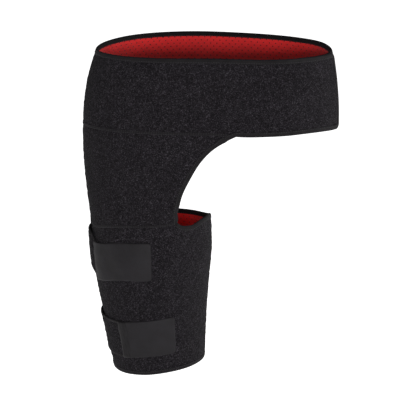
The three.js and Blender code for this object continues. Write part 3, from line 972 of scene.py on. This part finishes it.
# The flat tapes over the two seams
share = np.linspace(SEAM_EDGE_SHARE, 1 - SEAM_EDGE_SHARE, SEAM_POINTS)
for name, level in (("waist_seam_tape", 1), ("thigh_seam_tape", 0)):
    line = hip_place(share, level)
    path = evened(*line, 0 * share, TAPE_STEP)
    half = SEAM_TAPE_WIDTH / 2
    top = WALL - PINCH + SEAM_TAPE_RISE
    low = top - SEAM_TAPE_WALL
    section = {
        "off": (-half, -half + 0.4, 0, half - 0.4, half, half, 0, -half),
        "rise": (top - 0.2, top, top + 0.1, top, top - 0.2, low, low, low),
    }
    make_tape(name, path, section, seam_and_hem_shade_tape, replaces=[name], slot="tape")
    rows = [beside(path, side * (half - SEAM_STITCH_INSET)) for side in (-1, 1)]
    lines = [(*row, path[2] + top + STITCH_LIFT, 1) for row in rows]
    make_stitches(name.replace("seam_tape", "seam_stitches"), lines, thread)


# Straps and tabs


def strap_height(strap, angle, up):
    drop = smooth(strap, "angle", "down", angle)
    return BELT_FOOT - HIP_HEIGHT - WRAP_HEIGHT * drop - strap["width"] * (1 - up)


def make_strap(name, strap):
    """A strap's root, from the wrap's end down on to the ply below, with its two taped edges."""
    level = strap_height(strap, WRAP_END - TURN, 0.5)
    start = WRAP_END - TURN + degrees(COVER + CLEARANCE, WRAP_END - TURN, level)
    lap = degrees(TAB_LAP + CLEARANCE, strap["joint"], strap_height(strap, strap["joint"], 0.5))
    drop = LAP - WALL - CLEARANCE
    columns = spaced(start, strap["joint"], degrees(PILE_STEP, strap["joint"], level))
    rows = spaced(STRAP_EDGE_SHARE, 1 - STRAP_EDGE_SHARE, PILE_STEP / strap["width"])
    angle, share = np.meshgrid(columns, rows, indexing="ij")
    lift = drop * (1 - smooth_step(angle, strap["leaves"], strap["joint"] - lap))
    near = np.minimum(share, 1 - share) * strap["width"]
    low = WALL + CLEARANCE + lift
    high = low + STRAP_WALL - 0.6 * (1 - smooth_step(near, 1, 6))
    high = high + PILE_LUMPS * lumps(angle.shape, len(name))
    places = angle, strap_height(strap, angle, share)
    make_wall(name, places, low, high, pile, replaces=[name], slot="loop_pile")
    for side, edge in (("top", 1), ("foot", 0)):
        line = columns if edge else columns[::-1]
        rise = drop * (1 - smooth_step(line, strap["leaves"], strap["joint"] - lap))
        path = evened(line, strap_height(strap, line, edge), rise, TAPE_STEP)
        width = STRAP_TAPE_WIDTH
        base = WALL + CLEARANCE
        section = {
            "off": (-width, -width + 0.4, -0.8, 0.1, 0.45, 0.45, 0.1, -width),
            "rise": (base + 2.1, base + 2.5, base + 2.5, base + 2.2)
            + (base + 1.6, base + 0.7, base + 0.1, base + 0.1),
        }
        make_tape(f"{name}_{side}_tape", path, section, tape, slot="tape")
        row = beside(path, STRAP_STITCH_INSET - width)
        lines = [(*row, path[2] + base + 2.55, 1)]
        make_stitches(f"{name}_{side}_stitches", lines, thread)


def make_tab(name, strap, slope, ribs, material):
    """A smooth hook tab on its strap's end, with round corners and a soft border."""
    def turn(length):
        return degrees(length, strap["joint"], strap_height(strap, strap["joint"], 0.5))

    start = strap["joint"] - turn(TAB_LAP)
    edge = strap["joint"] + turn(2 * CLEARANCE)
    landing = edge + turn(slope)
    columns = spaced(start, strap["reach"], turn(TAB_STEP))
    rows = spaced(0, 1, TAB_STEP / strap["width"])
    angle, share = np.meshgrid(columns, rows, indexing="ij")
    near = np.minimum(share, 1 - share) * strap["width"]
    inset = turn(1) * corner_inset(near, TAB_CORNER)
    fade = smooth_step(angle, strap["reach"] - turn(40), strap["reach"])
    angle = angle - inset * fade
    height = strap_height(strap, angle, share)
    lift = (STRAP_WALL + CLEARANCE) * (1 - smooth_step(angle, edge, landing))
    end = (strap["reach"] - angle) / turn(1) - inset / turn(1)
    border = np.minimum.reduce([near, np.maximum(end, 0), (angle - start) / turn(1) + 0.6])
    crown = TAB_WALL - 0.8 * (1 - smooth_step(border, -0.2, 1.6))
    wave = 0.12 * np.sin(share * 7 + angle * 0.2) + ribs(angle, share)
    low = WALL + CLEARANCE / 2 + lift
    high = WALL + CLEARANCE + lift + crown + wave * smooth_step(border, 0.5, 4)
    make_wall(name, (angle, height), low, high, material, replaces=[name], slot="hook_tab")


def plain(angle, share):
    return 0 * angle


def creased(angle, share):
    """Low upright ribs in the part of the tab that covers its strap's end."""
    joint = STRAPS["lower"]["joint"]
    near = 1 - smooth_step(angle, joint + 2, joint + 9)
    return 0.3 * near * np.sin((angle - joint) * 3.1 + 0.8 * np.sin(share * 5))


for name, strap in STRAPS.items():
    make_strap(f"{name}_strap", strap)
make_tab("upper_hook_tab", STRAPS["upper"], UPPER_TAB_SLOPE, plain, hook_tab)
make_tab("lower_hook_tab", STRAPS["lower"], LOWER_TAB_SLOPE, creased, creased_tab)

hidden_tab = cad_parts["waist_hook_tab"]
hidden_tab.data.materials.clear()
hidden_tab.data.materials.append(hook_tab)

# Floor, light and camera

bpy.ops.mesh.primitive_plane_add(size=FLOOR_WIDTH, location=(0, 6, cad_box[0][2] - FLOOR_DROP * MM))
floor = bpy.context.object
floor.name = "floor"
floor.data.materials.append(floor_material())

world = bpy.data.worlds.new("studio")
world.use_nodes = True
tree = world.node_tree
direction = tree.nodes.new("ShaderNodeTexCoord").outputs["Generated"]
parts = tree.nodes.new("ShaderNodeSeparateXYZ")
level = tree.nodes.new("ShaderNodeMapRange")
tree.links.new(direction, parts.inputs["Vector"])
tree.links.new(parts.outputs["Z"], level.inputs["Value"])
level.inputs["From Min"].default_value = -0.3
level.inputs["From Max"].default_value = 0.3
level.inputs["To Min"].default_value = GROUND
level.inputs["To Max"].default_value = SKY
tree.links.new(level.outputs["Result"], tree.nodes["Background"].inputs["Strength"])
tree.nodes["Background"].inputs["Color"].default_value = (1, 1, 1, 1)
bpy.context.scene.world = world
floor.visible_diffuse = False


def add_light(name, place, target, size, watts):
    lamp = bpy.data.lights.new(name, "AREA")
    lamp.shape = "RECTANGLE"
    lamp.size, lamp.size_y = size
    lamp.energy = watts
    light = bpy.data.objects.new(name, lamp)
    light.location = place
    aim = Vector(target) - Vector(place)
    light.rotation_euler = aim.to_track_quat("-Z", "Y").to_euler()
    bpy.context.scene.collection.objects.link(light)


for name, light in LAMPS.items():
    add_light(name, **light)

camera = bpy.data.cameras.new("camera")
camera.sensor_width = CAMERA_SENSOR
camera.lens = CAMERA_LENS
camera.clip_end = CAMERA_REACH
eye = bpy.data.objects.new("camera", camera)
eye.location = Vector(CAMERA_PLACE) * MM
eye.rotation_euler = (math.radians(90 - CAMERA_PITCH), 0, 0)
bpy.context.scene.collection.objects.link(eye)
bpy.context.scene.camera = eye
bpy.context.scene.view_settings.view_transform = "Standard"
